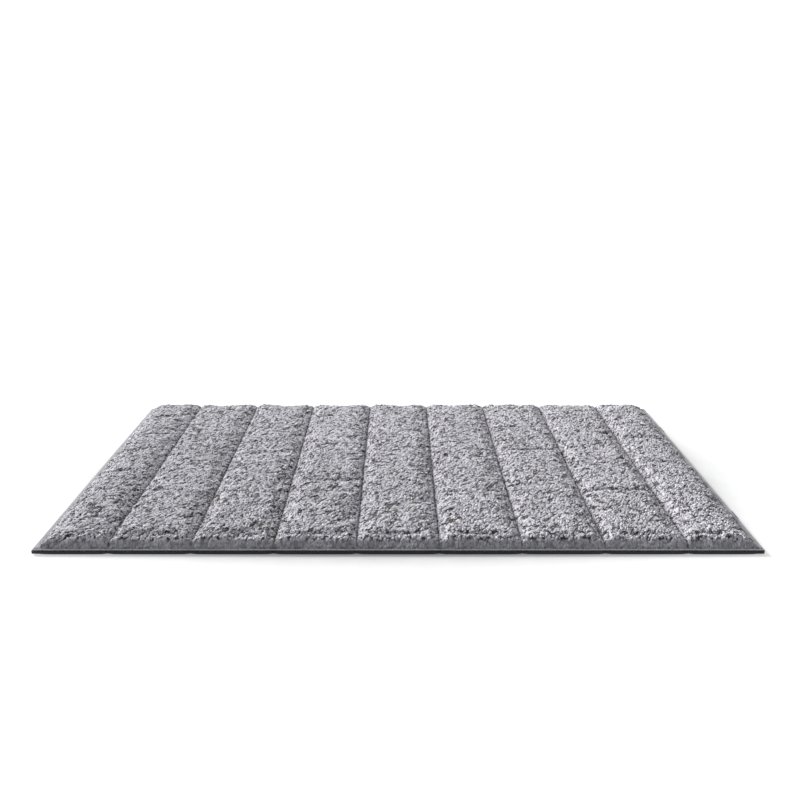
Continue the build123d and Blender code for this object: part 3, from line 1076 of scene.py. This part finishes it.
band_low, band_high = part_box("carry_band")
label_low, label_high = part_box("leather_label")
BAND_SEWN = 22 * MM


def band_relief(x, y):
    """The band's lower face: its turned-under sides are thicker, its middle sags, its weave is uneven."""
    side = np.minimum(x - band_low[0], band_high[0] - x)
    turned = -0.22 * MM * (1 - eased(side, 3.2 * MM, 4.2 * MM))
    free = eased(band_high[1] - np.abs(y), BAND_SEWN - 2 * MM, BAND_SEWN + 9 * MM)
    sag = 0.55 * MM * free * (1 - eased(np.abs(y), 26 * MM, 60 * MM)) * 0.4
    return turned - sag + 0.08 * MM * soft_noise(x, y, 7 * MM, 61)


band = strip(
    "carry_band_cloth", band_low, band_high, 0.9 * MM, band_relief, "channel_8", WOVEN_BAND, "band",
)
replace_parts(band, "carry_band")


# %% Leather finish and label
def leather_finish():
    f = Finish("leather", {"Roughness": 0.55, "Specular IOR Level": 0.45, "Coat Roughness": 0.5})
    grain = f.node("TexVoronoi", {"feature": "DISTANCE_TO_EDGE"}, {"Vector": f.place(), "Scale": 1100})
    pores = f.noise(f.place(), 2600, 3, 0.6)
    clouds = f.noise(f.place(), 90, 4, 0.6)
    pressed = f.attribute("pressed")
    tan = f.between(f.clamped(clouds, 0.3, 0.72), (0.300, 0.120, 0.060), (0.470, 0.215, 0.115))
    tan = f.between(f.clamped(pores, 0.35, 0.6, 0.3, 0.0), tan, (0.20, 0.075, 0.035))
    colour = f.between(pressed * 0.75, tan, (0.105, 0.038, 0.020))
    creases = f.clamped(grain, 0.0, 0.12)
    shine = f.clamped(clouds, 0.3, 0.7, 0.48, 0.66)
    return f.finished(colour, creases * 0.6 + pores * 0.4, 0.00025, 0.7, shine)


LEATHER = leather_finish()
LEATHER_STEP = 0.4 * MM
MOTIF_REACH = 15 * MM
BORDER_IN = 4.3 * MM


def label_pressed(x, y):
    """How far the leather is pressed in, 0 to 1: a border line and a motif of three waves."""
    along, across = y - (label_low[1] + label_high[1]) / 2, x - (label_low[0] + label_high[0]) / 2
    half_x, half_y = (label_high[0] - label_low[0]) / 2, (label_high[1] - label_low[1]) / 2
    to_side = np.minimum(half_x - np.abs(across), half_y - np.abs(along))
    border = np.exp(-(((to_side - BORDER_IN) / (0.32 * MM)) ** 2))
    waves = np.zeros_like(x)
    for offset in (-5.0, 0.0, 5.0):
        crest = offset * MM + 1.5 * MM * np.sin(along / (4.4 * MM))
        waves = np.maximum(waves, np.exp(-(((across - crest) / (0.62 * MM)) ** 2)))
    waves *= 1 - eased(np.abs(along), MOTIF_REACH - 1 * MM, MOTIF_REACH)
    return np.maximum(border * 0.55, waves)


def label_relief(x, y):
    """The pressed lines go up into the leather, which is slightly uneven between them."""
    return 0.4 * MM * label_pressed(x, y) + 0.05 * MM * soft_noise(x, y, 6 * MM, 62)


label = strip(
    "label_leather", label_low, label_high, LEATHER_STEP, label_relief, "channel_8", LEATHER, "leather",
    edge=0.7 * MM,
)
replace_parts(label, "leather_label")
pressed = label_pressed(*oblong_grid(label_low, label_high, LEATHER_STEP))
mark_points(label, {"pressed": np.concatenate([np.zeros(pressed.size), pressed.ravel()])})


# %% Stitches of the band and the label
SEWN_IN = 2.5 * MM  # how far the stitches are from the edge of the label and of the band


def border_rows(low, high, inset, z, length, gap, radius):
    """Four rows of stitches that face down, round a rectangle a little inside its edge."""
    x0, x1, y0, y1 = low[0] + inset, high[0] - inset, low[1] + inset, high[1] - inset
    corners = [(x0, y0, z), (x1, y0, z), (x1, y1, z), (x0, y1, z)]
    return [
        stitch_row(corners[n], corners[(n + 1) % 4], length, gap, radius, DOWN, 0.25 * MM)
        for n in range(4)
    ]


stitched_piece(
    "label_border_stitches",
    border_rows(label_low, label_high, SEWN_IN, label_low[2] + 0.02 * MM, 2.1 * MM, 0.8 * MM, 0.28 * MM),
    "channel_8", NAVY_THREAD, "label_stitching",
)
sewn_rows = []
for side in (-1, 1):
    inner, outer = side * (band_high[1] - BAND_SEWN), side * (band_high[1] - SEWN_IN)
    low_end = (band_low[0] + SEWN_IN, min(inner, outer))
    high_end = (band_high[0] - SEWN_IN, max(inner, outer))
    sewn_rows += border_rows(low_end, high_end, 0, band_low[2] - 0.15 * MM, 2.3 * MM, 0.8 * MM, 0.27 * MM)
stitched_piece("band_end_stitches", sewn_rows, "channel_8", NAVY_THREAD, "carry_band_stitching")


# %% [markdown]
# ## Closure tabs and loop patches
# Two black tapes are sewn under the end hem. In the flat mat they are folded back underneath, and
# when it is rolled they swing out, go up the side of the roll and grip the fuzzy patches there. A
# tab is one tape that crosses its hinge.

# %% Tape finish and pieces
def tape_finish():
    f = Finish("tape", {"Roughness": 0.88, "Sheen Weight": 0.15, "Specular IOR Level": 0.25})
    loops = f.node("TexVoronoi", {"feature": "F1"}, {"Vector": f.place(), "Scale": 1300})
    ribs = f.noise(f.scaled_place(260, 1500, 260), 1, 2, 0.5)
    colour = f.between(f.clamped(loops, 0.1, 0.75), (0.030, 0.030, 0.033), (0.006, 0.006, 0.007))
    return f.finished(colour, (1 - loops) * 0.7 + ribs * 0.3, 0.0006, 0.9)


TAPE = tape_finish()
SEWN_POINTS, BEND_POINTS, FREE_POINTS = 6, 13, 34  # of the tape's middle line


def tape_path(tab_low, tab_high, sewn_low, sewn_high):
    """The middle line of a folded tape in X and Z: under the hem, round the fold, and back below."""
    fold_z = (sewn_high[2] + tab_low[2]) / 2
    radius = (sewn_low[2] + sewn_high[2]) / 2 - fold_z
    turn = np.linspace(math.pi / 2, -math.pi / 2, BEND_POINTS)
    bend = np.stack([tab_high[0] + radius * np.cos(turn), fold_z + radius * np.sin(turn)], axis=-1)

    def level(start, end, count, z):
        return np.stack([np.linspace(start, end, count), np.full(count, z)], axis=-1)

    over = level(sewn_low[0], tab_high[0], SEWN_POINTS, fold_z + radius)
    back = level(tab_high[0], tab_low[0], FREE_POINTS, fold_z - radius)
    return np.concatenate([over[:-1], bend, back[1:]])


def closure_tab(side):
    """One folded tape: its section, a thin oblong, is carried along the folded path."""
    node = f"closure_tab_{side}"
    tab_low, tab_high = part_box(node)
    path = tape_path(tab_low, tab_high, *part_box(f"{node}_sewn_end"))
    ahead = np.gradient(path, axis=0)
    ahead /= np.linalg.norm(ahead, axis=1, keepdims=True)
    out = np.stack([-ahead[:, 1], ahead[:, 0]], axis=-1)
    along = np.linalg.norm(np.diff(path, axis=0), axis=1).cumsum()
    along = np.concatenate([[0], along])
    width = np.linspace(tab_low[1], tab_high[1], 27)
    to_side = np.minimum(width - width[0], width[-1] - width)
    half = (tab_high[2] - tab_low[2]) / 2 * (0.45 + 0.5 * eased(to_side, 0, 0.9 * MM))
    tip = np.clip((along[-1] - along) / (9 * MM), 0, 1)
    narrow = 1 - 0.28 * (1 - np.sqrt(np.clip(1 - (1 - tip) ** 2, 0, 1)))
    centre = (width[0] + width[-1]) / 2
    y = centre + (width[None, :] - centre) * narrow[:, None]
    layers = []
    for sign in (1, -1):
        place = path[:, None, :] + sign * half[None, :, None] * out[:, None, :]
        layers.append(np.stack([place[..., 0], y, place[..., 1]], axis=-1).transpose(1, 0, 2))
    piece = closed_cloth(f"closure_tape_{side}", *layers, None, TAPE, "closure")
    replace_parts(piece, node, f"{node}_sewn_end")
    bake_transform(piece)


def fuzz(x, y):
    """The lower face of a patch: short loops, drawn as fine noise."""
    return 0.12 * MM * soft_noise(x, y, 1.6 * MM, 71)


def loop_patch(side):
    """A fuzzy oblong patch, sewn flat on the backing."""
    low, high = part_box(f"loop_patch_{side}")
    piece = strip(f"loop_patch_cloth_{side}", low, high, 0.8 * MM, fuzz, "channel_4", TAPE, "closure")
    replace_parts(piece, f"loop_patch_{side}")


for side in ("front", "back"):
    closure_tab(side)
    loop_patch(side)


# %% [markdown]
# ## Care tag
# A short white satin ribbon, folded in two and caught in the hem, so its fold is the free end. It
# is limp, so it bows down towards the floor. The satin's shine comes from long floating threads
# across it, a very fine stretched noise with a low roughness.

# %% Satin finish and tag
def satin_finish():
    f = Finish("satin", {"Roughness": 0.38, "Specular IOR Level": 0.5, "Sheen Weight": 0.1})
    floats = f.noise(f.scaled_place(4200, 320, 4200), 1, 2, 0.5)
    colour = f.between(f.clamped(floats, 0.3, 0.7), (0.80, 0.80, 0.79), (0.90, 0.90, 0.89))
    return f.finished(colour, floats, 0.00015, 0.6, f.clamped(floats, 0.3, 0.7, 0.32, 0.5))


SATIN = satin_finish()
TAG_CAUGHT, TAG_THICKNESS = 7 * MM, 0.55 * MM  # the length under the hem, and both layers together


def care_tag():
    """A closed, thin ribbon: its line leaves the hem level and falls as 1 - cos towards the floor."""
    low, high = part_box("care_tag")
    length = high[1] - low[1]
    t = np.linspace(0, 1, 41)
    x = np.linspace(low[0], high[0], 19)
    out = np.clip((t * length - TAG_CAUGHT) / (length - TAG_CAUGHT), 0, 1)
    top = high[2] - 0.05 * MM - (high[2] - 1.3 * MM) * 0.9 * (1 - np.cos(out * math.pi / 2)) ** 1.2
    gx, gy = np.meshgrid(x, low[1] + t * length * 0.985)
    curl = 0.5 * MM * out[:, None] * ((gx - x.mean()) / (x[-1] - x[0]) * 2) ** 2
    top = top[:, None] + curl
    ends = 0.25 + 0.75 * eased(1 - t, 0, 0.05)[:, None]
    upper = np.stack([gx, gy, top], axis=-1)
    lower = np.stack([gx, gy, top - TAG_THICKNESS * ends], axis=-1)
    piece = closed_cloth("care_tag_ribbon", upper, lower, "channel_8", SATIN, "satin")
    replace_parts(piece, "care_tag")


care_tag()

# %% [markdown]
# ## The studio
# Curls only show if light rakes over them, so two soft suns shine from behind and to the left, one
# of them low over the mat. A wide rim light behind it draws its far edge, and a faint even surround
# opens up the shadows. The floor glows by itself, which keeps it white far off, and its glow is
# dimmed towards the mat, a painted soft shadow close by. The surround is white where the camera
# looks straight at it. The camera stands in front, a little above the mat, and looks down at it.

# %% Floor and lights
def studio_finish():
    f = Finish("studio_floor", {"Roughness": 0.9, "Specular IOR Level": 0.0, "Emission Strength": 0.5})
    grain = f.noise(f.place(), 40, 2, 0.5)
    # Painted shadow: the floor's glow is dimmed in an oval round the mat.
    oval = f.scaled_place(half_width / mat_end, 1, 1)
    from_mat = f.node("VectorMath", {"operation": "LENGTH"}, {0: oval}, "Value")
    glow = f.between(f.clamped(from_mat, 0.30, 0.42), (0.38, 0.38, 0.38), (1.0, 1.0, 1.0))
    connect(f.tree, f.shader.inputs["Emission Color"], glow)
    colour = f.between(f.clamped(grain, 0.3, 0.7), (0.50, 0.50, 0.50), (0.52, 0.52, 0.52))
    return f.finished(colour, grain, 0.0001, 0.1)


FLOOR_REACH = 12.0
corners = np.array([[-1, -1, 0], [1, -1, 0], [1, 1, 0], [-1, 1, 0]]) * FLOOR_REACH
floor_mesh = bpy.data.meshes.new("studio_floor")
floor_mesh.from_pydata(corners.tolist(), [], [[0, 1, 2, 3]])
floor_mesh.materials.append(studio_finish())
put_in_scene("studio_floor", floor_mesh)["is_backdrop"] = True


def soft_sun(name, towards, strength, width):
    """A sun that shines from a direction, as wide in the sky as width in degrees."""
    light = bpy.data.lights.new(name, "SUN")
    light.energy, light.angle = strength, math.radians(width)
    down = math.atan2(math.hypot(towards[0], towards[1]), towards[2])
    put_in_scene(name, light).rotation_euler = (down, 0, math.atan2(towards[1], towards[0]) + math.pi / 2)


soft_sun("key_light", (-0.68, 0.45, 0.58), 3.2, 16)
soft_sun("low_light", (-0.80, 0.55, 0.25), 3.8, 24)
rim_light = bpy.data.lights.new("rim_light", "AREA")
rim_light.shape, rim_light.size, rim_light.size_y, rim_light.energy = "RECTANGLE", 1.8, 0.6, 16
rim = put_in_scene("rim_light", rim_light)
rim.location, rim.rotation_euler = (-0.2, 1.35, 0.85), (math.radians(-54), 0, 0)

world = bpy.data.worlds.new("surround")
world.use_nodes = True
sky = world.node_tree
faint, white = sky.nodes["Background"], sky.nodes.new("ShaderNodeBackground")
for background, colour, strength in ((faint, (0.97, 0.98, 1, 1), 0.40), (white, (1, 1, 1, 1), 1.05)):
    background.inputs["Color"].default_value = colour
    background.inputs["Strength"].default_value = strength
either, path = sky.nodes.new("ShaderNodeMixShader"), sky.nodes.new("ShaderNodeLightPath")
sky.links.new(path.outputs["Is Camera Ray"], either.inputs[0])
sky.links.new(faint.outputs[0], either.inputs[1])
sky.links.new(white.outputs[0], either.inputs[2])
sky.links.new(either.outputs[0], sky.nodes["World Output"].inputs["Surface"])
bpy.context.scene.world = world
bpy.context.scene.view_settings.view_transform = "Standard"

# %% Camera
CAMERA_PLACE = (0.0, -1.370, 0.5125)
CAMERA_PITCH = math.radians(16.35)
camera_data = bpy.data.cameras.new("camera")
camera_data.lens, camera_data.sensor_width = 42.9, 36
camera_data.shift_x = 0.0025
camera = put_in_scene("camera", camera_data)
camera.location = CAMERA_PLACE
camera.rotation_euler = (math.pi / 2 - CAMERA_PITCH, 0, 0)
bpy.context.scene.camera = camera

# %% Sizes, and the end
LOOKS_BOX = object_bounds()
for name, box in (("CAD", CAD_BOX), ("looks", LOOKS_BOX)):
    print(name, "box", [[round(c, 4) for c in v] for v in box])
